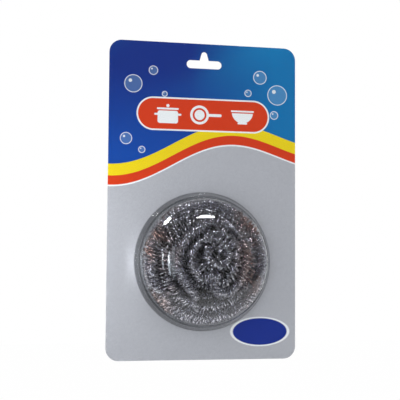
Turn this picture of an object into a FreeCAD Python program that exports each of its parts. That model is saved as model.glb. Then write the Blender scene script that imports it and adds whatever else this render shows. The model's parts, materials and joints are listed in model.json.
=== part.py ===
import FreeCAD, Part
import math
import os

from FreeCAD import Vector

# A wire pot scrubber on its hanging card, under a clear welded blister.
# Millimetres. +Z is up, the front faces -Y and the hook that carries the card runs through the origin.
# Heights inside the dome are counted forwards from the card's printed face.

# Card
CARD_WIDTH = 115.0
CARD_HEIGHT = 190.0
CARD_THICKNESS = 0.5
CARD_CORNER_RADIUS = 7.5

# Hang slot through card and film: a round-ended bar with a pointed lobe above its middle
SLOT_WIDTH = 21.6
SLOT_HEIGHT = 5.0
LOBE_RISE = 5.2
LOBE_BASE_WIDTH = 5.6
LOBE_TIP_RADIUS = 1.8
LOBE_TO_CARD_TOP = 5.0

# Scourer
SCOURER_RADIUS = 36.9
STRAND_DIAMETER = 5.4
LOOPS_PER_LAYER = 5.0
INNER_LOOP_RADIUS = 4.5
ROSETTE_OUTER_RADIUS = 24.5
ROSETTE_INNER_RADIUS = 6.0
WIRE_DIAMETER = 0.7
CURL_PITCH = 3.0

# Clearances
SEAT_GAP = 0.3
LAYER_GAP = 0.5
LOOP_GAP = 0.6
DOME_CLEARANCE = 0.5
WALL_CLEARANCE = 1.9

# Blister
FILM_THICKNESS = 0.3
DOME_CENTRE_ABOVE_CARD_BOTTOM = 58.3
DOME_DRAFT_DEGREES = 10.0
DOME_CROWN_RADIUS = 62.0
DOME_SHOULDER_RADIUS = 5.0
FOOT_HEIGHT = 2.0
FOOT_WIDTH = 1.6
FOOT_TOP_FILLET = 0.8
FOOT_BASE_FILLET = 0.6
DOME_FLANGE = 2.5

# How far cutters run past what they cut
CUT_MARGIN = 1.0

# Places that follow from the sizes above
CARD_TOP = LOBE_TIP_RADIUS + LOBE_TO_CARD_TOP
CARD_BOTTOM = CARD_TOP - CARD_HEIGHT
BAR_TOP = LOBE_TIP_RADIUS - LOBE_RISE
DOME_Z = CARD_BOTTOM + DOME_CENTRE_ABOVE_CARD_BOTTOM
DRAFT = math.radians(DOME_DRAFT_DEGREES)

# Layers of the scourer, from the card forwards
STRAND_RADIUS = STRAND_DIAMETER / 2
LAYER_STEP = STRAND_DIAMETER + LAYER_GAP
REAR_LAYER = SEAT_GAP + STRAND_RADIUS
MIDDLE_LAYER = REAR_LAYER + LAYER_STEP
ROSETTE_RIM = MIDDLE_LAYER + LAYER_STEP
REAR_REACH = SCOURER_RADIUS - STRAND_RADIUS

# The rosette lies under the dome's crown, whose inside is a ball about a point on the dome's axis
STRAND_TO_DOME = STRAND_RADIUS + DOME_CLEARANCE
STRAND_TO_WALL = STRAND_RADIUS + WALL_CLEARANCE
INNER_CROWN = DOME_CROWN_RADIUS - FILM_THICKNESS
ROSETTE_BALL = INNER_CROWN - STRAND_TO_DOME
CROWN_CENTRE = ROSETTE_RIM - math.sqrt(ROSETTE_BALL ** 2 - ROSETTE_OUTER_RADIUS ** 2)


def dome_wall(height, outwards):
    """Radius of the dome's drafted wall at a height, at a distance outwards from its inner face."""
    at_rear_layer = REAR_REACH + (STRAND_TO_WALL + outwards) / math.cos(DRAFT)
    return at_rear_layer - (height - REAR_LAYER) * math.tan(DRAFT)


def shoulder_centre():
    """Radius and height of the centre of the rounding that joins the dome's crown and wall."""
    inner_shoulder = DOME_SHOULDER_RADIUS - FILM_THICKNESS
    reach = DOME_CROWN_RADIUS - DOME_SHOULDER_RADIUS
    at_crown_centre = dome_wall(CROWN_CENTRE, -inner_shoulder)
    rise = at_crown_centre * math.sin(DRAFT) * math.cos(DRAFT)
    rise += math.cos(DRAFT) * math.sqrt(reach ** 2 - (at_crown_centre * math.cos(DRAFT)) ** 2)
    return at_crown_centre - rise * math.tan(DRAFT), CROWN_CENTRE + rise


def reach_at(height):
    """Largest radius for a strand's centre at a height, clear of the dome's wall, shoulder and crown."""
    across, up = shoulder_centre()
    room = DOME_SHOULDER_RADIUS - FILM_THICKNESS - STRAND_TO_DOME
    lean = math.atan2(across, up - CROWN_CENTRE)
    beside_wall = dome_wall(height, -STRAND_TO_WALL)
    if height < up + room * math.sin(DRAFT):
        return beside_wall
    if height < up + room * math.cos(lean):
        return min(beside_wall, across + math.sqrt(room ** 2 - (height - up) ** 2))
    return min(beside_wall, math.sqrt(ROSETTE_BALL ** 2 - (height - CROWN_CENTRE) ** 2))


def in_front(right, height, up):
    """Point at a height in front of the card's printed face."""
    return Vector(right, -CARD_THICKNESS - height, up)


# Sheet outlines


def rounded_sheet(back_y, thickness):
    """The card's outline as a sheet that reaches forwards from back_y."""
    corner = Vector(-CARD_WIDTH / 2, back_y, CARD_BOTTOM)
    block = Part.makeBox(CARD_WIDTH, thickness, CARD_HEIGHT, corner - Vector(0, thickness, 0))
    upright = [e for e in block.Edges if abs(e.tangentAt(e.FirstParameter).y) > 0.5]
    return block.makeFillet(CARD_CORNER_RADIUS, upright)


def hang_slot():
    """Cutter for the hang slot, through card and film and past both."""
    back_y = CUT_MARGIN
    depth = CARD_THICKNESS + FILM_THICKNESS + 2 * CUT_MARGIN
    end = SLOT_HEIGHT / 2
    straight = SLOT_WIDTH - SLOT_HEIGHT
    corner = Vector(-straight / 2, back_y - depth, BAR_TOP - SLOT_HEIGHT)
    bar = Part.makeBox(straight, depth, SLOT_HEIGHT, corner)
    for side in (-1, 1):
        centre = Vector(side * straight / 2, back_y, BAR_TOP - end)
        bar = bar.fuse(Part.makeCylinder(end, depth, centre, Vector(0, -1, 0)))

    # The lobe's sides leave its base corners and touch the tip circle about the origin
    base = Vector(LOBE_BASE_WIDTH / 2, back_y, BAR_TOP)
    reach = math.hypot(base.x, base.z)
    touch = math.atan2(base.z, base.x) + math.acos(LOBE_TIP_RADIUS / reach)
    tip = Vector(0, back_y, LOBE_TIP_RADIUS)
    side_end = Vector(LOBE_TIP_RADIUS * math.cos(touch), back_y, LOBE_TIP_RADIUS * math.sin(touch))
    mirrored_end = Vector(-side_end.x, back_y, side_end.z)
    mirrored_base = Vector(-base.x, back_y, base.z)
    into_bar = Vector(0, 0, -end)
    corners = [side_end, base, base + into_bar, mirrored_base + into_bar, mirrored_base, mirrored_end]
    arc = Part.Arc(mirrored_end, tip, side_end).toShape()
    outline = Part.Wire(Part.makePolygon(corners).Edges + [arc])
    lobe = Part.Face(outline).extrude(Vector(0, -depth, 0))
    return bar.fuse(lobe).removeSplitter()


def backing_card():
    """Printed board with the hang slot."""
    return rounded_sheet(0, CARD_THICKNESS).cut(hang_slot())


# Blister


def offset_corners(corners, distance):
    """Corners of a profile moved in towards the card by one distance along all its runs."""
    normals = []
    for (r0, h0), (r1, h1) in zip(corners, corners[1:]):
        length = math.hypot(r1 - r0, h1 - h0)
        normals.append(((h1 - h0) / length, (r0 - r1) / length))
    before = [normals[0]] + normals
    after = normals + [normals[-1]]
    moved = []
    for (r, h), (ar, ah), (br, bh) in zip(corners, before, after):
        share = distance / (1 + ar * br + ah * bh)
        moved.append((r + share * (ar + br), h + share * (ah + bh)))
    return moved


def rounded_profile(corners, fillets):
    """Edges of an open profile of (radius, height) corners, each inner corner rounded by its fillet."""
    points = [in_front(r, h, DOME_Z) for r, h in corners]
    edges = []
    start = points[0]
    for previous, corner, following, fillet in zip(points, points[1:], points[2:], fillets):
        back = (previous - corner).normalize()
        ahead = (following - corner).normalize()
        half_angle = back.getAngle(ahead) / 2
        trim = fillet / math.tan(half_angle)
        inwards = (back + ahead).normalize()
        middle = corner + inwards * (fillet / math.sin(half_angle) - fillet)
        edges.append(Part.LineSegment(start, corner + back * trim).toShape())
        edges.append(Part.Arc(corner + back * trim, middle, corner + ahead * trim).toShape())
        start = corner + ahead * trim
    edges.append(Part.LineSegment(start, points[-1]).toShape())
    return edges


def dome_face(outwards, foot, fillets):
    """Edges of one face of the dome, from its axis to the end of its foot."""
    across, up = shoulder_centre()
    crown = DOME_CROWN_RADIUS - FILM_THICKNESS + outwards
    shoulder = DOME_SHOULDER_RADIUS - FILM_THICKNESS + outwards
    lean = math.atan2(across, up - CROWN_CENTRE)
    steep = math.pi / 2 - DRAFT

    def on_crown(angle):
        return in_front(crown * math.sin(angle), CROWN_CENTRE + crown * math.cos(angle), DOME_Z)

    def on_shoulder(angle):
        return in_front(across + shoulder * math.sin(angle), up + shoulder * math.cos(angle), DOME_Z)

    top = Part.Arc(on_crown(0), on_crown(lean / 2), on_crown(lean)).toShape()
    rounding = Part.Arc(on_shoulder(lean), on_shoulder((lean + steep) / 2), on_shoulder(steep)).toShape()
    wall_top = (across + shoulder * math.sin(steep), up + shoulder * math.cos(steep))
    return [top, rounding] + rounded_profile([wall_top] + foot, fillets)


def blister():
    """Clear sheet over the whole card, drawn out into a dished dome that stands on a stepped foot."""
    wall_at_foot = dome_wall(FOOT_HEIGHT, FILM_THICKNESS)
    foot_edge = wall_at_foot + FOOT_WIDTH
    foot_base = foot_edge + (FOOT_HEIGHT - FILM_THICKNESS) * math.tan(DRAFT)
    flange = foot_base + DOME_FLANGE
    outer_foot = [
        (wall_at_foot, FOOT_HEIGHT),
        (foot_edge, FOOT_HEIGHT),
        (foot_base, FILM_THICKNESS),
        (flange, FILM_THICKNESS),
    ]
    on_wall = (dome_wall(ROSETTE_RIM, FILM_THICKNESS), ROSETTE_RIM)
    inner_foot = offset_corners([on_wall] + outer_foot, FILM_THICKNESS)[1:]
    outer_fillets = [FOOT_TOP_FILLET, FOOT_TOP_FILLET, FOOT_BASE_FILLET]
    bend = [FILM_THICKNESS, -FILM_THICKNESS, FILM_THICKNESS]
    inner_fillets = [fillet + change for fillet, change in zip(outer_fillets, bend)]
    section = dome_face(FILM_THICKNESS, outer_foot, outer_fillets) + dome_face(0, inner_foot, inner_fillets)
    inner_top = CROWN_CENTRE + INNER_CROWN
    for (r0, h0), (r1, h1) in (
        ((0, inner_top), (0, inner_top + FILM_THICKNESS)),
        (inner_foot[-1], outer_foot[-1]),
    ):
        section.append(Part.LineSegment(in_front(r0, h0, DOME_Z), in_front(r1, h1, DOME_Z)).toShape())
    face = Part.Face(Part.Wire(Part.__sortEdges__(section)))
    dome = face.revolve(Vector(0, 0, DOME_Z), Vector(0, 1, 0), 360)

    film = rounded_sheet(-CARD_THICKNESS, FILM_THICKNESS)
    mouth_depth = FILM_THICKNESS + 2 * CUT_MARGIN
    mouth_front = in_front(0, FILM_THICKNESS + CUT_MARGIN, DOME_Z)
    film = film.cut(Part.makeCylinder(flange, mouth_depth, mouth_front, Vector(0, 1, 0)))
    return film.cut(hang_slot()).fuse(dome).removeSplitter()


# Wound strands


def arc_middle(point, way, other):
    """Middle of the arc that leaves a point along a direction and ends at another point."""
    chord = other - point
    ahead = way.dot(chord) / chord.Length
    sideways = way - chord * (ahead / chord.Length)
    rise = math.tan(math.acos(min(1.0, ahead)) / 2) * chord.Length / 2
    return (point + other) * 0.5 + sideways.normalize() * rise


def biarc(start, start_way, end, end_way):
    """Two tangent arcs from one point and direction to another."""
    chord = end - start
    along = chord.dot(start_way + end_way)
    turn = 2 * (1 - start_way.dot(end_way))
    reach = (math.sqrt(along * along + turn * chord.dot(chord)) - along) / turn
    joint = (start + start_way * reach + end - end_way * reach) * 0.5
    first = Part.Arc(start, arc_middle(start, start_way, joint), joint)
    second = Part.Arc(joint, arc_middle(end, end_way * -1, joint), end)
    return [first.toShape(), second.toShape()]


def wound_tube(route, stations, diameter):
    """One tube along a route of stations, with a straight run of one diameter at each end."""
    step = 1e-4
    points = [route(s) for s in stations]
    ways = [(route(s + step) - route(s - step)).normalize() for s in stations]
    edges = [Part.LineSegment(points[0] - ways[0] * diameter, points[0]).toShape()]
    for place in zip(points, ways, points[1:], ways[1:]):
        edges += biarc(*place)
    edges.append(Part.LineSegment(points[-1], points[-1] + ways[-1] * diameter).toShape())
    path = Part.Wire(edges)
    mouth = Part.Wire(Part.makeCircle(diameter / 2, points[0] - ways[0] * diameter, ways[0]))
    pipe = Part.BRepOffsetAPI.MakePipeShell(path)
    pipe.add(mouth)
    pipe.build()
    pipe.makeSolid()
    return pipe.shape(), path


def least_gap(path, diameter):
    """Least clear distance between stretches of a tube, measured on points along its path."""
    spacing = diameter / 4
    apart = int(math.pi * diameter / spacing)
    points = path.discretize(Distance=spacing)
    nearest = min(
        (points[i] - q).Length for i in range(len(points)) for q in points[i + apart:]
    )
    return nearest - diameter


def straight_end_radius(reach):
    """Radius at which a straight tangent end of one strand diameter still stays within a reach."""
    return math.sqrt(reach ** 2 - STRAND_DIAMETER ** 2)


def rear_strand():
    """Body of the scourer: loops that spiral in on the card, climb and spiral out again in front."""
    loop_step = (straight_end_radius(REAR_REACH) - INNER_LOOP_RADIUS) / LOOPS_PER_LAYER
    quarters_in = round(4 * LOOPS_PER_LAYER)
    room_out = straight_end_radius(reach_at(MIDDLE_LAYER)) - INNER_LOOP_RADIUS
    quarters_out = int(4 * room_out / loop_step)
    quarter = math.pi / 2

    def route(angle):
        radius = INNER_LOOP_RADIUS + loop_step * abs(angle) / (2 * math.pi)
        climbed = (1 + math.sin(max(-quarter, min(quarter, angle)))) / 2
        height = REAR_LAYER + LAYER_STEP * climbed
        return in_front(radius * math.cos(angle), height, DOME_Z + radius * math.sin(angle))

    stations = [quarter * k for k in range(-quarters_in, quarters_out + 1)]
    return wound_tube(route, stations, STRAND_DIAMETER)


def front_strand():
    """Curled wire that lies in a rosette under the crown of the dome."""
    curl_radius = (STRAND_DIAMETER - WIRE_DIAMETER) / 2
    growth = (STRAND_DIAMETER + LOOP_GAP) / (2 * math.pi)
    length = (ROSETTE_OUTER_RADIUS ** 2 - ROSETTE_INNER_RADIUS ** 2) / (2 * growth)
    half_curls = int(2 * length / CURL_PITCH)

    def route(curl):
        radius = math.sqrt(ROSETTE_OUTER_RADIUS ** 2 - 2 * growth * curl * CURL_PITCH)
        angle = (ROSETTE_OUTER_RADIUS - radius) / growth
        height = CROWN_CENTRE + math.sqrt(ROSETTE_BALL ** 2 - radius ** 2)
        turn = 2 * math.pi * curl
        radius += curl_radius * math.cos(turn)
        height += curl_radius * math.sin(turn)
        return in_front(radius * math.cos(angle), height, DOME_Z + radius * math.sin(angle))

    stations = [k / 2 for k in range(half_curls + 1)]
    return wound_tube(route, stations, WIRE_DIAMETER)


def main():
    os.makedirs("parts", exist_ok=True)
    nodes = {"backing_card": backing_card(), "blister": blister()}
    for name, strand, diameter in (
        ("rear_strand", rear_strand(), STRAND_DIAMETER),
        ("front_strand", front_strand(), WIRE_DIAMETER),
    ):
        nodes[name], path = strand
        swept = path.Length * math.pi * diameter * diameter / 4
        print(f"{name}: length {path.Length:.1f}, least gap to itself {least_gap(path, diameter):.2f}")
        print(f"{name}: volume {nodes[name].Volume:.1f}, section times length {swept:.1f}")
    for name, shape in nodes.items():
        print(f"{name}: valid {shape.isValid()}, solids {len(shape.Solids)}, volume {shape.Volume:.1f}")
        shape.exportStep(f"parts/{name}.step")


main()
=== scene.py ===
import json
import math
from typing import NamedTuple

import bmesh
import bpy
import numpy as np
from mathutils import Matrix, Vector

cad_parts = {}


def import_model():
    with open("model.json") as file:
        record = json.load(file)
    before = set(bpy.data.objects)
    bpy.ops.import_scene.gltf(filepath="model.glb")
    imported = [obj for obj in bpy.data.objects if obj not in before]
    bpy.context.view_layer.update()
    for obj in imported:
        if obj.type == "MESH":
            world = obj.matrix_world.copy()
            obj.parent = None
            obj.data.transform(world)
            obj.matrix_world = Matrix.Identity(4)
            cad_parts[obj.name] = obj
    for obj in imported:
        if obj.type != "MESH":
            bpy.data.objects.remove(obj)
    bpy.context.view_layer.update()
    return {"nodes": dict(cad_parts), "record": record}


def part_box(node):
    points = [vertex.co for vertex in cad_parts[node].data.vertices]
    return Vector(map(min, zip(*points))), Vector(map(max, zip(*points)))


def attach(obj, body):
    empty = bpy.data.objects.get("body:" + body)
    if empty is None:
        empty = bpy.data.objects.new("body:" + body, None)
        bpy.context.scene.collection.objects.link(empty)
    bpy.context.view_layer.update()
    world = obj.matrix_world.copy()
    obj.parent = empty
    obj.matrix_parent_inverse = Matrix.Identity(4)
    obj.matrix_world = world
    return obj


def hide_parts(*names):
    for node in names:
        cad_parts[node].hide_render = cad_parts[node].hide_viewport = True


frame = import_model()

# A wire pot scrubber on its hanging card, under a clear welded blister.
# Metres. +Z is up, the front faces -Y and the card's back lies on the plane Y = 0.
# Heights inside the dome are counted forwards from the card's printed face.
# A noise is given by its scale, its detail and its roughness.

MM = 0.001

# Places read from the frame
CARD_LOW, CARD_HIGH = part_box("backing_card")
CARD_FRONT = CARD_LOW.y
CARD_CENTRE = Vector(((CARD_LOW.x + CARD_HIGH.x) / 2, CARD_FRONT, (CARD_LOW.z + CARD_HIGH.z) / 2))
MOUNTS = {mount["name"]: mount for mount in frame["record"]["mounts"]}
DOME_Z = MOUNTS["card_back"]["pos_m"][2]
DOME_TOP = CARD_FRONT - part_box("blister")[0].y

# Camera: how it turns, tilts and rolls, and where it sees the middle of the card
CAMERA_TURN = math.radians(-11.384)
CAMERA_TILT = math.radians(3.764)
CAMERA_ROLL = math.radians(0.4)
CAMERA_LENS_MM = 81.0
CAMERA_SENSOR_MM = 36.0
CARD_IN_VIEW_RIGHT = 1.94 * MM
CARD_IN_VIEW_UP = -0.10 * MM
CARD_IN_VIEW_AHEAD = 540.6 * MM

# Blister: a sheet with the card's outline, drawn out into a dome on a stepped foot
FILM = 0.3 * MM
FILM_TO_CARD = 0.03 * MM
EDGE_ROUND = 0.12 * MM
CARD_CORNER_RADIUS = 7.5 * MM
CROWN_RADIUS = 62.0 * MM
CROWN_CENTRE = DOME_TOP - CROWN_RADIUS
SHOULDER_RADIUS = 5.0 * MM
DRAFT = math.radians(10.0)
WALL_FOOT_RADIUS = 39.35 * MM
FOOT_HEIGHT = 2.0 * MM
FOOT_WIDTH = 1.6 * MM
FOOT_TOP_FILLET = 0.8 * MM
FOOT_BASE_FILLET = 0.6 * MM
DOME_FLANGE = 2.5 * MM

# How finely the blister is divided
DOME_SEGMENTS = 240
CROWN_STEPS = 40
SHOULDER_STEPS = 28
WALL_SHARES = (0.25, 0.5, 0.75)
FILLET_STEPS = 8
CARD_CORNER_STEPS = 13
SLOT_END_STEPS = 15
LOBE_STEPS = 13
SHARP_ANGLE = math.radians(40)

# Unevenness of the drawn dome, which fades out at its foot and its top
# Each wave is its count round the dome, its start, the height that turns it by a radian, and its share
DOME_WAVE = 0.03 * MM
DOME_WAVES = (
    (3, 0.7, 3 * MM, 1.0),
    (7, 0.0, -2 * MM, 0.6),
)
WAVE_FADE_HEIGHT = 6 * MM
WAVE_FADE_RADIUS = 10 * MM

# Film: what it reflects, how it darkens edge on, the painted shade over its foot, deeper to the left, and
# the line left by drawing
FILM_GLOSS = (0.98, 0.99, 1.0)
FILM_MIRROR = 0.035
FILM_EDGE_MIRROR = 0.6
FILM_EDGE_POWER = 5.0
FILM_TINT = (0.985, 0.99, 0.99)
FILM_EDGE_SHADE = (0.14, 0.145, 0.15)
FILM_SHADE_POWER = 2.0
FILM_ROUGHNESS = 0.02
FILM_SMEAR = 0.08
FILM_SMEAR_NOISE = (60.0, 3.0, 0.5)
FILM_RIPPLE = 0.015
FILM_RIPPLE_NOISE = (45.0, 0.0, 0.5)
FILM_RIPPLE_DEPTH = 0.3 * MM
FOOT_PAINTED_SHADE = 0.22
FOOT_SHADE_LEAN = 0.6
FOOT_SHADE_REACH = 0.8 * FOOT_WIDTH
FOOT_SHADE_BLUR = 0.8 * MM
DRAWN_LINE_HEIGHT = 9.2 * MM
DRAWN_LINE_WIDTH = 1.0 * MM
DRAWN_LINE_BLUR = 0.6 * MM
DRAWN_LINE_SHINE = 0.30

# Hang slot
SLOT_WIDTH = 21.6 * MM
SLOT_HEIGHT = 5.0 * MM
LOBE_BASE_WIDTH = 5.6 * MM
LOBE_TIP_RADIUS = 1.8 * MM
LOBE_RISE = 5.2 * MM
BAR_TOP = LOBE_TIP_RADIUS - LOBE_RISE

# Scourer: the loops that its strands follow
SEED = 7
SCOURER_RADIUS = 36.9 * MM
STRAND_DIAMETER = 5.4 * MM
LAYER_STEP = 5.9 * MM
REAR_LAYER = 3.0 * MM
LOOP_STEP = 5.9 * MM
LOOPS_PER_LAYER = 5
EXTRA_LOOPS = 0.8
INNER_LOOP_RADIUS = 4.5 * MM
DOME_CLEARANCE = 0.3 * MM
LOOSE_REACH = 1.2 * MM
RIBBON_REACH = WALL_FOOT_RADIUS - 2 * FILM
LEAST_RADIUS = 0.1 * MM
FOLD_BACK = 0.5

# Flat ribbon, and how it is curled along a strand
RIBBON_WIDTH = 0.85 * MM
RIBBON_THICKNESS = 0.10 * MM
RIBBON_TWIST = 0.7
CURL_RADIUS = 2.3 * MM
REAR_CURL_STEP = 2.3 * MM
FRONT_CURL_STEP = 3.8 * MM
CURL_STEPS = 12
CURL_SLIP = 0.7 * MM
CURL_SLIP_STEPS = CURL_STEPS // 3
UNEVEN_TURN = 1.6
UNEVEN_TURN_STEPS = 2 * CURL_STEPS
UNEVEN_SIZE = 0.24

# Points on a strand's axis line, how many of them pass between its random turns aside,
# and the share of a step by which a path stops before its last place
REAR_POINTS = 1400
REAR_WANDER_POINTS = 30
FRONT_POINTS_PER_PLACE = 22
FRONT_WANDER_POINTS = 40
ROPE_WANDER_POINTS = 25
PATH_STOP = 0.001

# Wound body: ribbons that run together, and one that lies loosely between their loops
REAR_RIBBONS = 2
REAR_WANDER = 0.6 * MM
LOOSE_START = 2.0
LOOSE_WANDER = 1.6 * MM

# Rosette: places that its strands pass through, in millimetres to the right of and above the dome's axis
ROSETTE_PATH = (
    (-7.0, -27.0),
    (-8.0, -19.5),
    (-12.5, -12.0),
    (-16.5, -4.5),
    (-18.0, 3.0),
    (-14.5, 11.5),
    (-7.0, 18.5),
    (2.5, 22.5),
    (12.5, 20.5),
    (20.5, 13.0),
    (24.0, 3.0),
    (22.5, -7.0),
    (17.5, -14.5),
    (10.0, -18.5),
    (3.5, -17.0),
    (4.0, -12.5),
    (6.0, -9.5),
    (2.0, -7.5),
    (-4.0, -9.5),
    (-9.0, -5.0),
    (-10.5, 2.0),
    (-8.0, 9.0),
    (-1.0, 13.0),
    (7.0, 11.5),
    (12.0, 5.0),
    (10.5, -2.0),
    (4.0, -1.5),
    (-1.5, 2.0),
    (-2.5, 7.0),
)
ROSETTE_FILL = (
    (-4.0, 16.5),
    (6.0, 17.0),
    (15.0, 11.0),
    (17.5, 2.0),
    (15.5, -6.0),
    (9.5, -12.0),
    (-1.0, -14.0),
)
ROSETTE_MIDDLE = (
    (-9.0, -1.0),
    (-4.0, -3.0),
    (1.0, -4.0),
    (3.0, 1.0),
    (7.0, 6.0),
    (4.0, 9.0),
    (-3.0, 5.0),
)

# Strands of the rosette: places, ribbons, how far the strand wanders and how far its ribbons spread
ROSETTE_STRANDS = (
    (ROSETTE_PATH, 8, 0.6 * MM, 0.6 * MM),
    (ROSETTE_FILL, 6, 1.2 * MM, 0.8 * MM),
    (ROSETTE_MIDDLE, 3, 1.2 * MM, 1.2 * MM),
)

# Steel: its streaks, its warm patches to the left and right, and the painted shade that darkens it deeper
# below the crown
STEEL_DARK = (0.62, 0.61, 0.73)
STEEL_BRIGHT = (0.97, 0.96, 1.0)
STEEL_WARM = (0.84, 0.54, 0.46)
STEEL_PAINTED_SHADE = (0.12, 0.12, 0.14)
STEEL_ROUGHNESS = 0.06
STREAK_ROUGHNESS = 0.12
STREAK_NOISE = (1500.0, 3.0, 0.6)
STREAK_BUMP = 0.3
STREAK_DEPTH = 0.03 * MM
WARM_NOISE = (70.0, 2.0, 0.5)
WARM_PATCH = (0.42, 0.62)
WARM_ASIDE = (14.76 * MM, 27.06 * MM)
WARM_SHARE = 0.8
# Depths below the crown at which the painted shade begins and is full, and how strong it is
PAINTED_SHADE_DEPTHS = (6.5 * MM, 11.5 * MM)
PAINTED_SHADE_SHARE = 0.4

# Board: its fibres and flecks, and the depth in which the print lies on it
BOARD_DARK = (0.50, 0.49, 0.46)
BOARD_LIGHT = (0.66, 0.65, 0.62)
BOARD_FLECK = (0.34, 0.33, 0.31)
BOARD_ROUGHNESS = 0.75
BOARD_SPECULAR = 0.05
BOARD_BUMP = 0.25
BOARD_BUMP_DEPTH = 0.05 * MM
FIBRE_NOISE = (420.0, 6.0, 0.65)
FIBRE_RANGE = (0.21875, 0.84375)
FIBRE_ROUGHNESS = 0.08
FLECK_NOISE = (2600.0, 2.0, 0.5)
FLECK_RANGE = (0.625, 0.875)
FLECK_SHARE = 0.5
PRINT_DEPTH = (CARD_FRONT + 0.06 * MM, CARD_FRONT + 0.04 * MM)
PRINT_SMOOTHNESS = 0.35

# Inks
BLUE_DEEP = (0.004, 0.028, 0.235)
BLUE_MID = (0.003, 0.062, 0.36)
BLUE_LIGHT = (0.003, 0.165, 0.42)
SWEEP_BLUE = (0.006, 0.26, 0.56)
PALE_BLUE = (0.30, 0.52, 0.74)
RED = (0.64, 0.044, 0.008)
YELLOW = (0.80, 0.62, 0.008)
WHITE = (0.82, 0.84, 0.86)
GREY = (0.375, 0.378, 0.420)
NAVY = (0.007, 0.028, 0.265)
INK_EDGE = 0.25
INK_GRAIN = 0.25
INK_GRAIN_NOISE = (900.0, 4.0, 0.6)

# The print's layout is in millimetres: u to the right of the middle, v up from the lower edge

# Waves across the card, and how far above the lowest one each stripe starts
WAVE_UP = 117.0
WAVE_SLOPE = 0.10
WAVE_SWING = 9.5
WAVE_TURN = 0.048
WAVE_START = 0.9
RED_STRIPE = 0.9
YELLOW_STRIPE = 6.4
BLUE_FIELD = 13.4

# Blue field: where it is middle blue below, light blue to the right, and swept with a paler blue above
BLUE_MID_RANGE = (172.0, 122.0)
BLUE_LIGHT_RANGE = (-8.0, 44.63)
SWEEP_RANGE = (105.0, 188.33)
SWEEP_TURN_RIGHT = 0.055
SWEEP_TURN_DOWN = 0.075
SWEEP_START = 1.2
SWEEP_SHARE = 0.3

# Bubbles in the blue field: right, up and radius
# How far aside a glint lies and its size are shares of the bubble's radius
BUBBLES = (
    (-43.0, 164.0, 5.2),
    (-31.0, 172.5, 2.6),
    (-47.0, 131.0, 3.4),
    (-37.5, 124.5, 1.9),
    (35.0, 171.0, 4.0),
    (46.0, 160.5, 6.0),
    (27.5, 161.0, 2.0),
    (44.0, 148.0, 2.4),
    (-24.0, 158.5, 1.5),
)
BUBBLE_RIM_WIDTH = 0.44
BUBBLE_GLINT_ASIDE = 0.35
BUBBLE_GLINT_SIZE = 0.2
BUBBLE_BODY_SHARE = 0.22
BUBBLE_LINE_SHARE = 0.85

# Band with kitchen signs
# A bar is right, up, half width, half height and corner radius, and a disc is right, up and radius
BAND = (0.0, 146.5, 40.0, 9.2, 9.2)
BAND_BORDER = 0.9
POT_BODY = (-22.0, 144.6, 6.2, 3.8, 1.4)
POT_LID = (-22.0, 149.6, 6.6, 0.55, 0.5)
POT_HANDLES = (-22.0, 146.2, 8.2, 0.6, 0.5)
POT_KNOB = (-22.0, 151.4, 0.95)
PAN_RIM = (-2.6, 146.5, 5.0)
PAN_RIM_WIDTH = 1.5
PAN_FLOOR = (-2.6, 146.5, 3.1)
PAN_HANDLE = (6.6, 146.5, 4.4, 0.85, 0.8)
BOWL_SIDE = (24.0, 149.0, 6.6)
BOWL_TOP = 148.4
BOWL_FOOT = (24.0, 142.3, 3.0, 0.6, 0.5)
BOWL_LIP = (24.0, 149.6, 7.2, 0.5, 0.45)

# Bare oval near the lower right corner
OVAL_RIGHT = 35.4
OVAL_UP = 16.4
OVAL_HALF_WIDTH = 16.8
OVAL_HALF_HEIGHT = 8.0
OVAL_BORDER = 0.8

# Floor
FLOOR_DROP = 0.36
FLOOR_REACH = 4.0
FLOOR_AHEAD = 0.45
FLOOR_DARK = (0.80, 0.80, 0.80)
FLOOR_LIGHT = (0.84, 0.84, 0.84)
FLOOR_GRAIN_NOISE = (30.0, 2.0, 0.5)
FLOOR_ROUGHNESS = 0.8
FLOOR_WHITENESS = 0.97

# Room that reflections see, and the fill that matt surfaces get
# A range is the share of a direction, backwards or upwards, at which a shade begins and is full
ROOM_SHADE = 0.17
ROOM_SHADE_AHEAD = 0.10
ROOM_AHEAD_RANGE = (-0.5, -1.0)
WHITE_BEHIND_RANGE = (0.9, 0.9833)
TABLE_SHADE = 0.36
TABLE_DOWN_RANGE = (-0.5, -0.5714)
TABLE_AHEAD_RANGE = (-0.15, -0.35)
FILL_LEVEL = 1.34
FILL_BEHIND = 0.85
FILL_AHEAD_RANGE = (0.125, -0.125)

# Lamps
LAMP_DISTANCE = 0.9
LAMP_WHITE = (1.0, 1.0, 1.0)
DAYLIGHT = (0.80, 0.90, 1.0)


class Lamp(NamedTuple):
    """Flat lamp that faces the dome, placed by degrees to the right of and above the dome's axis.

    lights_matt says whether it lights matt surfaces, and seen whether the camera and reflections see it.
    """

    name: str
    azimuth: float
    elevation: float
    width: float
    height: float
    brightness: float
    roll: float = 0.0
    distance: float = LAMP_DISTANCE
    oval: bool = False
    colour: tuple = LAMP_WHITE
    lights_matt: bool = True
    seen: bool = True


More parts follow.
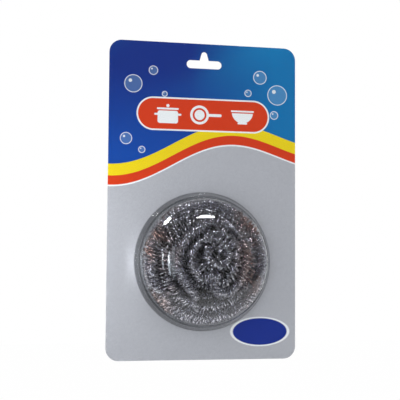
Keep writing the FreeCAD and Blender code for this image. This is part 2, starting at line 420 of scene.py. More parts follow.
LAMPS = (
    Lamp("ceiling_panel", 12.8, 51.6, 0.32, 0.034, 24.0, roll=-6.0, oval=True, lights_matt=False),
    Lamp("ceiling_panel_top", 12.3, 52.6, 0.20, 0.048, 24.0, roll=-6.0, oval=True, lights_matt=False),
    Lamp("left_panel", -48.5, 44.8, 0.15, 0.06, 32.0, roll=61.0, oval=True, lights_matt=False),
    Lamp("top_bank", 0.0, 97.0, 0.9, 0.4, 2.8, lights_matt=False),
    Lamp("right_bank", 112.0, 5.0, 0.6, 1.0, 3.0, lights_matt=False),
    Lamp("left_bank", -88.0, 5.0, 0.4, 0.8, 0.9, lights_matt=False),
    Lamp("window", -35.5, -3.0, 0.045, 0.44, 3.6, oval=True, colour=DAYLIGHT),
    Lamp("window_top", -35.7, 2.5, 0.036, 0.17, 6.5, oval=True, lights_matt=False),
    Lamp("window_haze", -31.5, -2.0, 0.09, 0.60, 1.0, oval=True, colour=DAYLIGHT),
    Lamp("window_pane", -42.6, 0.0, 0.02, 0.34, 3.4, oval=True, colour=DAYLIGHT),
    Lamp("window_pane_top", -42.3, 5.5, 0.024, 0.07, 6.0, oval=True, lights_matt=False),
    Lamp("left_glow", -63.4, 5.0, 0.03, 0.08, 10.0, distance=0.134, seen=False),
    Lamp("left_rim_glow", -76.4, 0.0, 0.003, 0.022, 13.0, distance=0.0468, seen=False),
    Lamp("rear_fill", 160.0, 35.0, 0.6, 0.6, 0.5),
)


def in_front(right, height, up):
    """Point at a height in front of the card's printed face."""
    return Vector((right, CARD_FRONT - height, up))


def new_piece(name, mesh, material):
    """Smooth object of a mesh and a material."""
    piece = bpy.data.objects.new(name, mesh)
    bpy.context.scene.collection.objects.link(piece)
    mesh.materials.append(material)
    mesh.shade_smooth()
    return piece


# Material helpers


class Field:
    """A number that varies over a surface, worked out by math nodes."""

    def __init__(self, tree, socket):
        self.tree = tree
        self.socket = socket

    def math(self, operation, *others):
        """Field worked out from this one and from other fields or numbers."""
        node = self.tree.nodes.new("ShaderNodeMath")
        node.operation = operation
        for value, target in zip((self, *others), node.inputs):
            if isinstance(value, Field):
                self.tree.links.new(value.socket, target)
            else:
                target.default_value = value
        return Field(self.tree, node.outputs[0])

    def __add__(self, other):
        return self.math("ADD", other)

    def __sub__(self, other):
        return self.math("SUBTRACT", other)

    def __mul__(self, other):
        return self.math("MULTIPLY", other)

    def __truediv__(self, other):
        return self.math("DIVIDE", other)

    def __neg__(self):
        return self.math("MULTIPLY", -1.0)

    def __abs__(self):
        return self.math("ABSOLUTE")

    def power(self, exponent):
        return self.math("POWER", exponent)

    def root(self):
        return self.math("SQRT")

    def sin(self):
        return self.math("SINE")

    def least(self, other):
        return self.math("MINIMUM", other)

    def most(self, other):
        return self.math("MAXIMUM", other)

    def hypot(self, other):
        return (self * self + other * other).root()

    def clamp(self):
        field = self.math("ADD", 0.0)
        field.socket.node.use_clamp = True
        return field

    def ramp(self, start, end):
        """0 up to a start, 1 from an end on, and even between them."""
        return ((self - start) * (1.0 / (end - start))).clamp()

    def inside(self, blur):
        """1 where this signed distance is negative, 0 where it is positive."""
        return (self * (-1.0 / blur) + 0.5).clamp()


def new_material(name):
    """Material, its node tree and its main shader."""
    material = bpy.data.materials.new(name)
    material.use_nodes = True
    tree = material.node_tree
    return material, tree, tree.nodes["Principled BSDF"]


def surface_place(tree, output="Object"):
    """Socket of the place on a surface, or of the direction in a world."""
    return tree.nodes.new("ShaderNodeTexCoord").outputs[output]


def coordinates(tree, place):
    """The three coordinates of a place, as fields."""
    split = tree.nodes.new("ShaderNodeSeparateXYZ")
    tree.links.new(place, split.inputs[0])
    return [Field(tree, output) for output in split.outputs]


def noise(tree, place, scale, detail, roughness):
    """Field of soft random spots."""
    node = tree.nodes.new("ShaderNodeTexNoise")
    node.inputs["Scale"].default_value = scale
    node.inputs["Detail"].default_value = detail
    node.inputs["Roughness"].default_value = roughness
    tree.links.new(place, node.inputs["Vector"])
    return Field(tree, node.outputs["Fac"])


def mix_colour(tree, share, first, second):
    """Colour socket between two colours or colour sockets."""
    node = tree.nodes.new("ShaderNodeMix")
    node.data_type = "RGBA"
    tree.links.new(share.socket, node.inputs["Factor"])
    for value, target in ((first, node.inputs[6]), (second, node.inputs[7])):
        if isinstance(value, tuple):
            target.default_value = (*value, 1.0)
        else:
            tree.links.new(value, target)
    return node.outputs[2]


def mix_shaders(tree, share, first, second):
    """Shader socket between the outputs of two shader nodes."""
    node = tree.nodes.new("ShaderNodeMixShader")
    tree.links.new(share.socket, node.inputs[0])
    tree.links.new(first.outputs[0], node.inputs[1])
    tree.links.new(second.outputs[0], node.inputs[2])
    return node.outputs[0]


def surface_socket(tree):
    """Socket that takes a material's finished shader."""
    return tree.nodes["Material Output"].inputs["Surface"]


def bump(tree, shader, height, strength, distance):
    """Relief on a shader's normal."""
    node = tree.nodes.new("ShaderNodeBump")
    node.inputs["Strength"].default_value = strength
    node.inputs["Distance"].default_value = distance
    tree.links.new(height.socket, node.inputs["Height"])
    tree.links.new(node.outputs["Normal"], shader.inputs["Normal"])


# Card


def disc(u, v, right, up, radius):
    """Signed distance to a disc."""
    return (u - right).hypot(v - up) - radius


def bar(u, v, right, up, half_width, half_height, corner):
    """Signed distance to a round-cornered bar."""
    across = (abs(u - right) - (half_width - corner)).most(0.0)
    along = (abs(v - up) - (half_height - corner)).most(0.0)
    return across.hypot(along) - corner


def blue_field(tree, u, v):
    """Colour socket of the blue field behind the bubbles."""
    blue = mix_colour(tree, v.ramp(*BLUE_MID_RANGE), BLUE_DEEP, BLUE_MID)
    blue = mix_colour(tree, u.ramp(*BLUE_LIGHT_RANGE), blue, BLUE_LIGHT)
    swing = (u * SWEEP_TURN_RIGHT - v * SWEEP_TURN_DOWN + SWEEP_START).sin()
    sweep = (swing * 0.5 + 0.5) * v.ramp(*SWEEP_RANGE)
    return mix_colour(tree, (sweep * sweep * sweep * SWEEP_SHARE).clamp(), blue, SWEEP_BLUE)


def bubbles(tree, u, v, colour):
    """Pale bubbles, each with a thin rim and a glint."""
    for right, up, radius in BUBBLES:
        body = disc(u, v, right, up, radius)
        rim = abs(body) - BUBBLE_RIM_WIDTH / 2
        aside = BUBBLE_GLINT_ASIDE * radius
        glint = disc(u, v, right - aside, up + aside, BUBBLE_GLINT_SIZE * radius)
        lines = rim.inside(INK_EDGE).most(glint.inside(INK_EDGE))
        colour = mix_colour(tree, body.inside(INK_EDGE) * BUBBLE_BODY_SHARE, colour, PALE_BLUE)
        colour = mix_colour(tree, lines * BUBBLE_LINE_SHARE, colour, WHITE)
    return colour


def waves(tree, u, v, colour):
    """White, red and yellow waves under the blue field."""
    above = v - (u * WAVE_TURN + WAVE_START).sin() * WAVE_SWING - u * WAVE_SLOPE - WAVE_UP
    stripes = (
        (0.0, WHITE),
        (RED_STRIPE, RED),
        (YELLOW_STRIPE, YELLOW),
        (BLUE_FIELD, bubbles(tree, u, v, blue_field(tree, u, v))),
    )
    for start, ink in stripes:
        colour = mix_colour(tree, (-(above - start)).inside(INK_EDGE), colour, ink)
    return colour


def band(tree, u, v, colour):
    """Red band with white kitchen signs: a pot, a pan and a bowl."""
    plate = bar(u, v, *BAND)
    colour = mix_colour(tree, (plate - BAND_BORDER).inside(INK_EDGE), colour, WHITE)
    colour = mix_colour(tree, plate.inside(INK_EDGE), colour, RED)
    signs = disc(u, v, *POT_KNOB)
    for part in (POT_BODY, POT_LID, POT_HANDLES, PAN_HANDLE, BOWL_FOOT, BOWL_LIP):
        signs = signs.least(bar(u, v, *part))
    pan = (abs(disc(u, v, *PAN_RIM)) - PAN_RIM_WIDTH / 2).least(disc(u, v, *PAN_FLOOR))
    bowl = disc(u, v, *BOWL_SIDE).most(v - BOWL_TOP)
    signs = signs.least(pan).least(bowl)
    return mix_colour(tree, signs.inside(INK_EDGE), colour, WHITE)


def oval(tree, u, v, colour):
    """Bare dark oval with a pale border."""
    across = (u - OVAL_RIGHT) / OVAL_HALF_WIDTH
    along = (v - OVAL_UP) / OVAL_HALF_HEIGHT
    edge = (across.hypot(along) - 1.0) * OVAL_HALF_HEIGHT
    colour = mix_colour(tree, (edge - OVAL_BORDER).inside(INK_EDGE), colour, WHITE)
    return mix_colour(tree, edge.inside(INK_EDGE), colour, NAVY)


def card_print(tree, u, v, place):
    """Colour socket of the printed face."""
    grain = noise(tree, place, *INK_GRAIN_NOISE)
    colour = mix_colour(tree, grain * INK_GRAIN, GREY, WHITE)
    for layer in (waves, band, oval):
        colour = layer(tree, u, v, colour)
    return colour


def card_material():
    """Printed and varnished front, plain grey board on the back and the cut edges."""
    material, tree, shader = new_material("printed_card")
    place = surface_place(tree)
    right, back, up = coordinates(tree, place)
    u = (right - CARD_CENTRE.x) * (1 / MM)
    v = (up - CARD_LOW.z) * (1 / MM)
    fibre = noise(tree, place, *FIBRE_NOISE)
    fleck = noise(tree, place, *FLECK_NOISE)
    board = mix_colour(tree, fibre.ramp(*FIBRE_RANGE), BOARD_DARK, BOARD_LIGHT)
    board = mix_colour(tree, fleck.ramp(*FLECK_RANGE) * FLECK_SHARE, board, BOARD_FLECK)
    front = back.ramp(*PRINT_DEPTH)
    colour = mix_colour(tree, front, board, card_print(tree, u, v, place))
    tree.links.new(colour, shader.inputs["Base Color"])
    rough = front * -PRINT_SMOOTHNESS + BOARD_ROUGHNESS + fibre * FIBRE_ROUGHNESS
    tree.links.new(rough.socket, shader.inputs["Roughness"])
    shader.inputs["Specular IOR Level"].default_value = BOARD_SPECULAR
    bump(tree, shader, fibre, BOARD_BUMP, BOARD_BUMP_DEPTH)
    return material


def dress_card():
    """The card keeps its solid and gets its print."""
    materials = frame["nodes"]["backing_card"].data.materials
    materials.clear()
    materials.append(card_material())


# Blister


def film_tint(tree, place, facing):
    """Colour of what shows through the film: it darkens edge on, and has painted shade over the foot,
    deeper on the left side.
    """
    right, _, up = coordinates(tree, place)
    out = right.hypot(up - DOME_Z)
    # Painted shade over the foot ring, growing to the left and fading to the right
    foot = abs(out - (WALL_FOOT_RADIUS + FOOT_WIDTH / 2)) - FOOT_SHADE_REACH
    lean = right * (-FOOT_SHADE_LEAN / WALL_FOOT_RADIUS) + 1.0
    foot_shade = foot.inside(FOOT_SHADE_BLUR) * lean * FOOT_PAINTED_SHADE
    return mix_colour(tree, facing.power(FILM_SHADE_POWER).most(foot_shade), FILM_TINT, FILM_EDGE_SHADE)


def film_shine(tree, place, facing):
    """Share of light that the film reflects: more edge on, and more along the drawn line."""
    _, back, _ = coordinates(tree, place)
    ahead = -back + CARD_FRONT
    drawn = (abs(ahead - DRAWN_LINE_HEIGHT) - DRAWN_LINE_WIDTH / 2).inside(DRAWN_LINE_BLUR)
    edge_on = facing.power(FILM_EDGE_POWER).least(FILM_EDGE_MIRROR)
    return (edge_on * (1.0 - FILM_MIRROR) + FILM_MIRROR + drawn * DRAWN_LINE_SHINE).clamp()


def film_gloss(tree, place):
    """Glossy shader with faint smears and ripples."""
    gloss = tree.nodes.new("ShaderNodeBsdfGlossy")
    gloss.inputs["Color"].default_value = (*FILM_GLOSS, 1.0)
    smear = noise(tree, place, *FILM_SMEAR_NOISE)
    tree.links.new((smear * FILM_SMEAR + FILM_ROUGHNESS).socket, gloss.inputs["Roughness"])
    bump(tree, gloss, noise(tree, place, *FILM_RIPPLE_NOISE), FILM_RIPPLE, FILM_RIPPLE_DEPTH)
    return gloss


def film_material():
    """Clear glossy sheet."""
    material, tree, shader = new_material("clear_film")
    tree.nodes.remove(shader)
    place = surface_place(tree)
    facing = Field(tree, tree.nodes.new("ShaderNodeLayerWeight").outputs["Facing"])
    clear = tree.nodes.new("ShaderNodeBsdfTransparent")
    tree.links.new(film_tint(tree, place, facing), clear.inputs["Color"])
    mixed = mix_shaders(tree, film_shine(tree, place, facing), clear, film_gloss(tree, place))
    tree.links.new(mixed, surface_socket(tree))
    return material


def arc_points(centre, radius, start, end, steps):
    """Points on an arc, with angles from straight ahead of the card towards its plane."""
    angles = np.linspace(start, end, steps)
    return [(centre[0] + radius * math.sin(a), centre[1] + radius * math.cos(a)) for a in angles]


def rounded_corner(before, corner, after, radius):
    """Points of the fillet at a corner of the profile."""
    before, corner, after = Vector(before), Vector(corner), Vector(after)
    back = (before - corner).normalized()
    ahead = (after - corner).normalized()
    half = back.angle(ahead) / 2
    trim = radius / math.tan(half)
    centre = corner + (back + ahead).normalized() * (radius / math.sin(half))
    start = corner + back * trim - centre
    sweep = start.angle_signed(corner + ahead * trim - centre)
    shares = np.linspace(0, 1, FILLET_STEPS)
    return [tuple(centre + Matrix.Rotation(-sweep * share, 2) @ start) for share in shares]


def crown_and_shoulder():
    """Profile points from the dome's axis over its crown and shoulder to the top of its wall."""
    reach = CROWN_RADIUS - SHOULDER_RADIUS
    wall = WALL_FOOT_RADIUS - (CROWN_CENTRE - FOOT_HEIGHT) * math.tan(DRAFT)
    across = wall - SHOULDER_RADIUS / math.cos(DRAFT)
    rise = across * math.sin(DRAFT) * math.cos(DRAFT)
    rise += math.cos(DRAFT) * math.sqrt(reach ** 2 - (across * math.cos(DRAFT)) ** 2)
    shoulder = (across - rise * math.tan(DRAFT), CROWN_CENTRE + rise)
    lean = math.atan2(shoulder[0], rise)
    points = arc_points((0, CROWN_CENTRE), CROWN_RADIUS, 0, lean, CROWN_STEPS)[1:]
    points += arc_points(shoulder, SHOULDER_RADIUS, lean, math.pi / 2 - DRAFT, SHOULDER_STEPS)[1:]
    return points


def dome_profile():
    """Outer face of the dome from its axis to its flange, as (radius, height) points."""
    points = crown_and_shoulder()
    foot_edge = WALL_FOOT_RADIUS + FOOT_WIDTH
    foot_base = foot_edge + (FOOT_HEIGHT - FILM) * math.tan(DRAFT)
    corners = [
        points[-1],
        (WALL_FOOT_RADIUS, FOOT_HEIGHT),
        (foot_edge, FOOT_HEIGHT),
        (foot_base, FILM),
        (foot_base + DOME_FLANGE, FILM),
    ]
    points += [tuple(Vector(corners[0]).lerp(Vector(corners[1]), share)) for share in WALL_SHARES]
    fillets = (FOOT_TOP_FILLET, FOOT_TOP_FILLET, FOOT_BASE_FILLET)
    for before, corner, after, fillet in zip(corners, corners[1:], corners[2:], fillets):
        points += rounded_corner(before, corner, after, fillet)
    return points + [corners[-1]]


def profile_normals(points):
    """Outward direction at each profile point, straight ahead at the flange."""
    along = np.gradient(np.array([(0.0, points[0][1])] + points), axis=0)[1:]
    along /= np.linalg.norm(along, axis=1)[:, None]
    normals = np.stack([-along[:, 1], along[:, 0]], axis=1)
    normals[-1] = (0.0, 1.0)
    return normals


def card_outline(inset):
    """Round-cornered outline of the sheet, as (right, up) points."""
    left, right = CARD_LOW.x + inset, CARD_HIGH.x - inset
    low, high = CARD_LOW.z + inset, CARD_HIGH.z - inset
    radius = CARD_CORNER_RADIUS - inset
    points = []
    corners = ((right, high, -1, -1), (left, high, 1, -1), (left, low, 1, 1), (right, low, -1, 1))
    for quarter, (x, z, into_x, into_z) in enumerate(corners):
        centre_x, centre_z = x + into_x * radius, z + into_z * radius
        for share in np.linspace(0, 1, CARD_CORNER_STEPS):
            angle = (quarter + share) * math.pi / 2
            points.append((centre_x + radius * math.cos(angle), centre_z + radius * math.sin(angle)))
    return points


def slot_outline():
    """Hang slot: a round-ended bar with a pointed lobe above its middle."""
    end = SLOT_HEIGHT / 2
    middle = BAR_TOP - end
    straight = (SLOT_WIDTH - SLOT_HEIGHT) / 2
    points = []
    for angle in np.linspace(math.pi / 2, 3 * math.pi / 2, SLOT_END_STEPS):
        points.append((-straight + end * math.cos(angle), middle + end * math.sin(angle)))
    for angle in np.linspace(-math.pi / 2, math.pi / 2, SLOT_END_STEPS):
        points.append((straight + end * math.cos(angle), middle + end * math.sin(angle)))
    half_base = LOBE_BASE_WIDTH / 2
    touch = math.atan2(BAR_TOP, half_base) + math.acos(LOBE_TIP_RADIUS / math.hypot(half_base, BAR_TOP))
    points.append((half_base, BAR_TOP))
    for angle in np.linspace(touch, math.pi - touch, LOBE_STEPS):
        points.append((LOBE_TIP_RADIUS * math.cos(angle), LOBE_TIP_RADIUS * math.sin(angle)))
    points.append((-half_base, BAR_TOP))
    return points


def ring_of(bm, points, height):
    """Vertices at points of an outline, at a height in front of the card."""
    return [bm.verts.new(in_front(x, height, z)) for x, z in points]


def join_rings(bm, first, second):
    """Faces between two closed rings of as many points."""
    for i in range(len(first)):
        j = (i + 1) % len(first)
        bm.faces.new((first[i], first[j], second[j], second[i]))


def fill_between(bm, rings):
    """Flat faces between an outline and the holes in it."""
    edges = []
    for ring in rings:
        for a, b in zip(ring, ring[1:] + ring[:1]):
            edges.append(bm.edges.get((a, b)) or bm.edges.new((a, b)))
    bmesh.ops.triangle_fill(bm, use_beauty=True, use_dissolve=False, edges=edges)


def dome_ring(bm, radius, height, lean):
    """Ring of the dome, with the slight unevenness of a drawn sheet along the face's normal."""
    fade = min(1.0, max(0.0, (height - FOOT_HEIGHT) / WAVE_FADE_HEIGHT))
    fade *= min(1.0, radius / WAVE_FADE_RADIUS)
    ring = []
    for k in range(DOME_SEGMENTS):
        angle = 2 * math.pi * k / DOME_SEGMENTS
        wave = 0.0
        for count, start, rise, share in DOME_WAVES:
            wave += share * math.sin(count * angle + start + height / rise)
        out = DOME_WAVE * wave * fade
        r = radius + out * lean[0]
        place = in_front(r * math.cos(angle), height + out * lean[1], DOME_Z + r * math.sin(angle))
        ring.append(bm.verts.new(place))
    return ring


def dome_skin(bm, points, normals, thickness):
    """One face of the dome, returning the ring at its flange."""
    rings = []
    for (radius, height), lean in zip(points, normals):
        rings.append(dome_ring(bm, radius - thickness * lean[0], height - thickness * lean[1], lean))
    for inner, outer in zip(rings, rings[1:]):
        join_rings(bm, inner, outer)
    middle = bm.verts.new(in_front(0, DOME_TOP - thickness, DOME_Z))
    for a, b in zip(rings[0], rings[0][1:] + rings[0][:1]):
        bm.faces.new((a, b, middle))
    return rings[-1]


def blister():
    """Clear sheet drawn out into a dished dome on a stepped foot, welded over the whole card."""
    bm = bmesh.new()
    points = dome_profile()
    normals = profile_normals(points)
    outline = card_outline(0)
    front_edge = ring_of(bm, outline, FILM - EDGE_ROUND)
    back_edge = ring_of(bm, outline, FILM_TO_CARD)
    front_flat = ring_of(bm, card_outline(EDGE_ROUND), FILM)
    slot_front = ring_of(bm, slot_outline(), FILM)
    slot_back = ring_of(bm, slot_outline(), FILM_TO_CARD)
    dome_front = dome_skin(bm, points, normals, 0)
    dome_back = dome_skin(bm, points, normals, FILM - FILM_TO_CARD)
    join_rings(bm, back_edge, front_edge)
    join_rings(bm, front_edge, front_flat)
    join_rings(bm, slot_back, slot_front)
    fill_between(bm, [front_flat, slot_front, dome_front])
    fill_between(bm, [back_edge, slot_back, dome_back])
    bmesh.ops.recalc_face_normals(bm, faces=bm.faces)
    mesh = bpy.data.meshes.new("blister_sheet")
    bm.to_mesh(mesh)
    bm.free()
    piece = new_piece("blister_sheet", mesh, film_material())
    mesh.set_sharp_from_angle(angle=SHARP_ANGLE)
    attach(piece, "blister")
    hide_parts("blister")


# Scourer


def wire_material():
    """Bright cut steel ribbon with drawn streaks, faint warm patches and painted shade in its depths."""
    material, tree, shader = new_material("steel_ribbon")
    place = surface_place(tree)
    right, back, up = coordinates(tree, place)
    patch = noise(tree, place, *WARM_NOISE)
    streak = noise(tree, place, *STREAK_NOISE)
    colour = mix_colour(tree, streak, STEEL_DARK, STEEL_BRIGHT)
    warm = patch.ramp(*WARM_PATCH) * abs(right).ramp(*WARM_ASIDE) * WARM_SHARE
    colour = mix_colour(tree, warm, colour, STEEL_WARM)
    # Painted shade: steel that lies deeper below the crown is darkened towards a dark grey
    out = right.hypot(up - DOME_Z)
    crown = (-(out * out) + CROWN_RADIUS ** 2).root() + CROWN_CENTRE
    below = crown - (-back + CARD_FRONT)
    colour = mix_colour(tree, below.ramp(*PAINTED_SHADE_DEPTHS) * PAINTED_SHADE_SHARE, colour, STEEL_PAINTED_SHADE)
    tree.links.new(colour, shader.inputs["Base Color"])
    tree.links.new((streak * STREAK_ROUGHNESS + STEEL_ROUGHNESS).socket, shader.inputs["Roughness"])
    shader.inputs["Metallic"].default_value = 1.0
    bump(tree, shader, streak, STREAK_BUMP, STREAK_DEPTH)
    return material


def smooth_noise(rng, count, spacing, size):
    """Slowly varying random values along a strand, about zero."""
    knots = rng.normal(0.0, 1.0, count // spacing + 4)
    place = np.arange(count) / spacing + 1.0
    base = place.astype(int)
    share = place - base
    share = share * share * (3 - 2 * share)
    return size * (knots[base] * (1 - share) + knots[base + 1] * share)


def unit(vectors):
    """Vectors brought to length one."""
    return vectors / np.linalg.norm(vectors, axis=1)[:, None]


def path_length(line):
    """Length of a line up to each of its points."""
    return np.concatenate([[0], np.cumsum(np.linalg.norm(np.diff(line, axis=0), axis=1))])


def evenly_spaced(line, count):
    """Points at even steps along a line."""
    length = path_length(line)
    along = np.linspace(0, length[-1], count)
    return np.stack([np.interp(along, length, line[:, k]) for k in range(3)], axis=1)


def curl_round(axis, rng):
    """Line that curls round an axis line, and the way out from the axis at each of its points."""
    steps = len(axis)
    way = unit(np.gradient(axis, axis=0))
    side = unit(np.cross(way, (0.0, 1.0, 0.0)))
    front = np.cross(side, way)
    turn = 2 * np.pi * np.arange(steps) / CURL_STEPS
    turn = turn + smooth_noise(rng, steps, UNEVEN_TURN_STEPS, UNEVEN_TURN)
    reach = CURL_RADIUS * (1 + smooth_noise(rng, steps, CURL_STEPS, UNEVEN_SIZE))
    out = np.cos(turn)[:, None] * side + np.sin(turn)[:, None] * front
    slip = smooth_noise(rng, steps, CURL_SLIP_STEPS, CURL_SLIP)
    return axis + reach[:, None] * out + slip[:, None] * way, out


def ribbon_corners(line, out, rng):
    """The four corners of a flat, slightly twisted ribbon at each point of a line."""
    run = unit(np.gradient(line, axis=0))
    flat = unit(np.cross(run, out))
    thick = np.cross(flat, run)
    twist = smooth_noise(rng, len(line), CURL_STEPS, RIBBON_TWIST)[:, None]
    half_width = RIBBON_WIDTH / 2 * (np.cos(twist) * flat + np.sin(twist) * thick)
    half_thick = RIBBON_THICKNESS / 2 * (np.cos(twist) * thick - np.sin(twist) * flat)
    corners = (
        half_width + half_thick,
        half_thick - half_width,
        -half_width - half_thick,
        half_width - half_thick,
    )
    return np.stack([line + corner for corner in corners], axis=1).reshape(-1, 3)


def ribbon_faces(steps):
    """Sides and ends of a ribbon with four corners at each step."""
    start = 4 * np.arange(steps - 1)
    faces = []
    for k in range(4):
        n = (k + 1) % 4
        faces.append(np.stack([start + k, start + n, start + 4 + n, start + 4 + k], axis=1))
    last = 4 * (steps - 1)
    ends = np.array([[3, 2, 1, 0], [last, last + 1, last + 2, last + 3]])
    return np.concatenate(faces + [ends])


def fold_back(values, limit):
    """Values past a limit turned back inside it, by a part of what they stand over."""
    return np.minimum(values, limit - FOLD_BACK * (values - limit))


def under_dome(points, clearance, reach):
    """Points turned back behind the dome, clear of its crown and the card, within a reach at the card."""
    right = points[:, 0]
    up = points[:, 2] - DOME_Z
    height = -fold_back(points[:, 1] - CARD_FRONT, -clearance)
    radius = np.maximum(np.hypot(right, up), LEAST_RADIUS)
    inside = fold_back(radius, reach - height * math.tan(DRAFT))
    ball = CROWN_RADIUS - FILM - clearance
    height = fold_back(height, CROWN_CENTRE + np.sqrt(ball ** 2 - inside ** 2))
    shrink = inside / radius
    return np.stack([right * shrink, CARD_FRONT - height, DOME_Z + up * shrink], axis=1)


def rear_line(rng, start, wander):
    """Axis line of the wound body: in towards the middle on the card, up a layer, and out again."""
    reach = 2 * math.pi * (LOOPS_PER_LAYER + EXTRA_LOOPS)
    angle = np.linspace(-reach, reach, REAR_POINTS)
    radius = INNER_LOOP_RADIUS + LOOP_STEP * np.abs(angle) / (2 * math.pi)
    climb = (1 + np.sin(np.clip(angle, -math.pi / 2, math.pi / 2))) / 2
    height = REAR_LAYER + LAYER_STEP * climb
    radius = radius + smooth_noise(rng, REAR_POINTS, REAR_WANDER_POINTS, wander)
    height = height + smooth_noise(rng, REAR_POINTS, REAR_WANDER_POINTS, wander)
    angle = angle + start
    return np.stack([radius * np.cos(angle), CARD_FRONT - height, DOME_Z + radius * np.sin(angle)], axis=1)


def smooth_path(places, count):
    """Points on a smooth curve through places, up to just before the last."""
    ends = np.concatenate([2 * places[:1] - places[1:2], places, 2 * places[-1:] - places[-2:-1]])
    position = np.linspace(0, len(places) - 1 - PATH_STOP, count)
    base = position.astype(int)
    s = (position - base)[:, None]
    a, b, c, d = (ends[base + k] for k in range(4))
    return b + 0.5 * s * (c - a + s * (2 * a - 5 * b + 4 * c - d + s * (3 * (b - c) + d - a)))


def front_line(rng, places, wander):
    """Axis line of a strand that lies under the crown of the dome."""
    points = FRONT_POINTS_PER_PLACE * len(places)
    right, up = smooth_path(np.array(places) * MM, points).T
    right = right + smooth_noise(rng, points, FRONT_WANDER_POINTS, wander)
    up = up + smooth_noise(rng, points, FRONT_WANDER_POINTS, wander)
    ball = CROWN_RADIUS - FILM - DOME_CLEARANCE - STRAND_DIAMETER / 2
    height = CROWN_CENTRE + np.sqrt(ball ** 2 - right ** 2 - up ** 2)
    height = height - 2 * wander + smooth_noise(rng, points, FRONT_WANDER_POINTS, wander)
    return np.stack([right, CARD_FRONT - height, DOME_Z + up], axis=1)


def along_rope(line, count, spread, rng):
    """Lines that run together as one strand."""
    lines = []
    for _ in range(count):
        away = [smooth_noise(rng, len(line), ROPE_WANDER_POINTS, spread) for _ in range(3)]
        lines.append(line + np.stack(away, axis=1))
    return lines


def curled_ribbon(line, curl_step, rng):
    """Vertices and faces of flat ribbon curled along a line, kept under the dome."""
    line = under_dome(line, DOME_CLEARANCE + CURL_RADIUS, SCOURER_RADIUS + LOOSE_REACH - CURL_RADIUS)
    curls = np.linalg.norm(np.diff(line, axis=0), axis=1).sum() / curl_step
    steps = int(curls * CURL_STEPS)
    curled, out = curl_round(evenly_spaced(line, steps), rng)
    vertices = under_dome(ribbon_corners(curled, out, rng), DOME_CLEARANCE, RIBBON_REACH)
    return vertices, ribbon_faces(steps)


def ribbon_piece(name, node, lines, curl_step, material, rng):
    """One piece of curled ribbon along several lines."""
    all_vertices, all_faces, count = [], [], 0
    for line in lines:
        vertices, faces = curled_ribbon(line, curl_step, rng)
        all_vertices.append(vertices)
        all_faces.append(faces + count)
        count += len(vertices)
    mesh = bpy.data.meshes.new(name)
    mesh.from_pydata(np.concatenate(all_vertices).tolist(), [], np.concatenate(all_faces).tolist())
    mesh.update()
    piece = new_piece(name, mesh, material)
    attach(piece, "scrubber")
    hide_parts(node)


def scourer():
    """Wound body and rosette of curled ribbon."""
    rng = np.random.default_rng(SEED)
    material = wire_material()
    rear = along_rope(rear_line(rng, 0.0, REAR_WANDER), REAR_RIBBONS, REAR_WANDER, rng)
    rear.append(rear_line(rng, LOOSE_START, LOOSE_WANDER))
    ribbon_piece("rear_strand_curls", "rear_strand", rear, REAR_CURL_STEP, material, rng)
    front = []
    for places, ribbons, wander, spread in ROSETTE_STRANDS:
        front += along_rope(front_line(rng, places, wander), ribbons, spread, rng)
    ribbon_piece("front_strand_curls", "front_strand", front, FRONT_CURL_STEP, material, rng)


# Stage


def ray_is(tree, kind):
    """1 for rays of a kind and 0 for others."""
    return Field(tree, tree.nodes.new("ShaderNodeLightPath").outputs[f"Is {kind} Ray"])


def floor_material():
    """Pale matt floor, mostly white to the camera and through clear things."""
    material, tree, shader = new_material("pale_floor")
    grain = noise(tree, surface_place(tree), *FLOOR_GRAIN_NOISE)
    tree.links.new(mix_colour(tree, grain, FLOOR_DARK, FLOOR_LIGHT), shader.inputs["Base Color"])
    shader.inputs["Roughness"].default_value = FLOOR_ROUGHNESS
    white = tree.nodes.new("ShaderNodeEmission")
    white.inputs["Color"].default_value = (1.0, 1.0, 1.0, 1.0)
    share = ray_is(tree, "Camera").most(ray_is(tree, "Transmission")) * FLOOR_WHITENESS
    tree.links.new(mix_shaders(tree, share, shader, white), surface_socket(tree))
    return material


def floor():
    """Pale floor below the card."""
    z = CARD_LOW.z - FLOOR_DROP
    corners = [(-FLOOR_REACH, -FLOOR_AHEAD, z), (FLOOR_REACH, -FLOOR_AHEAD, z)]
    corners += [(FLOOR_REACH, FLOOR_REACH, z), (-FLOOR_REACH, FLOOR_REACH, z)]
    mesh = bpy.data.meshes.new("floor")
    mesh.from_pydata(corners, [], [(0, 1, 2, 3)])
    mesh.materials.append(floor_material())
    plane = bpy.data.objects.new("floor", mesh)
    bpy.context.scene.collection.objects.link(plane)


def room(back, up):
    """Brightness of the room: white behind the card, dim in front of it, with a pale table below."""
    shade = back.ramp(*ROOM_AHEAD_RANGE) * (ROOM_SHADE_AHEAD - ROOM_SHADE) + ROOM_SHADE
    table = up.ramp(*TABLE_DOWN_RANGE) * back.ramp(*TABLE_AHEAD_RANGE)
    return shade + back.ramp(*WHITE_BEHIND_RANGE) + table * TABLE_SHADE


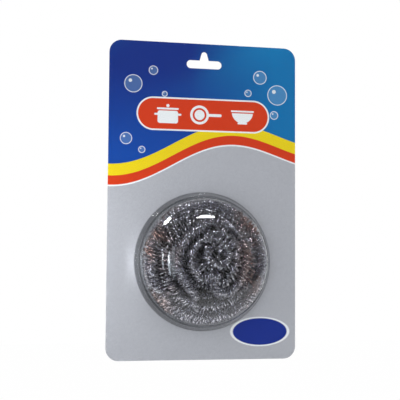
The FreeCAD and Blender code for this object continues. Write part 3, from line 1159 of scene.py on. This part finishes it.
def world():
    """White to the camera, a room to reflections, and a soft fill to matt surfaces."""
    studio = bpy.data.worlds.new("studio")
    bpy.context.scene.world = studio
    studio.use_nodes = True
    tree = studio.node_tree
    _, back, up = coordinates(tree, surface_place(tree, "Generated"))
    mirrored = ray_is(tree, "Transmission").most(ray_is(tree, "Glossy"))
    fill = back.ramp(*FILL_AHEAD_RANGE) * (FILL_LEVEL - FILL_BEHIND) + FILL_BEHIND
    level = room(back, up) * mirrored + (mirrored * -1.0 + 1.0) * fill
    level = level.most(ray_is(tree, "Camera"))
    sky = tree.nodes["Background"]
    sky.inputs["Color"].default_value = (1.0, 1.0, 1.0, 1.0)
    tree.links.new(level.socket, sky.inputs["Strength"])


def softbox(lamp):
    """Area light for a lamp."""
    light = bpy.data.lights.new(lamp.name, "AREA")
    light.shape = "ELLIPSE" if lamp.oval else "RECTANGLE"
    light.size = lamp.width
    light.size_y = lamp.height
    light.energy = lamp.brightness * math.pi * lamp.width * lamp.height
    light.color = lamp.colour
    holder = bpy.data.objects.new(lamp.name, light)
    bpy.context.scene.collection.objects.link(holder)
    a, e = math.radians(lamp.azimuth), math.radians(lamp.elevation)
    way = Vector((math.sin(a) * math.cos(e), -math.cos(a) * math.cos(e), math.sin(e)))
    turn = way.to_track_quat("Z", "Y").to_matrix().to_4x4()
    place = Matrix.Translation(in_front(0, 0, DOME_Z) + way * lamp.distance)
    holder.matrix_world = place @ turn @ Matrix.Rotation(math.radians(lamp.roll), 4, "Z")
    if not lamp.lights_matt:
        holder.visible_diffuse = False
    if not lamp.seen:
        holder.visible_camera = False
        holder.visible_glossy = False


def camera():
    """Camera at the photograph's viewing angle."""
    turn = Matrix.Rotation(CAMERA_TURN, 4, "Z")
    tilt = Matrix.Rotation(math.pi / 2 + CAMERA_TILT, 4, "X")
    roll = Matrix.Rotation(CAMERA_ROLL, 4, "Z")
    pose = turn @ tilt @ roll
    card_seen = Vector((CARD_IN_VIEW_RIGHT, CARD_IN_VIEW_UP, -CARD_IN_VIEW_AHEAD))
    data = bpy.data.cameras.new("camera")
    data.lens = CAMERA_LENS_MM
    data.sensor_width = CAMERA_SENSOR_MM
    holder = bpy.data.objects.new("camera", data)
    bpy.context.scene.collection.objects.link(holder)
    holder.matrix_world = Matrix.Translation(CARD_CENTRE - pose.to_3x3() @ card_seen) @ pose
    bpy.context.scene.camera = holder


def main():
    """The stage, and then the card, the blister and the scourer."""
    bpy.context.scene.view_settings.view_transform = "Standard"
    camera()
    world()
    floor()
    for lamp in LAMPS:
        softbox(lamp)
    dress_card()
    blister()
    scourer()


main()
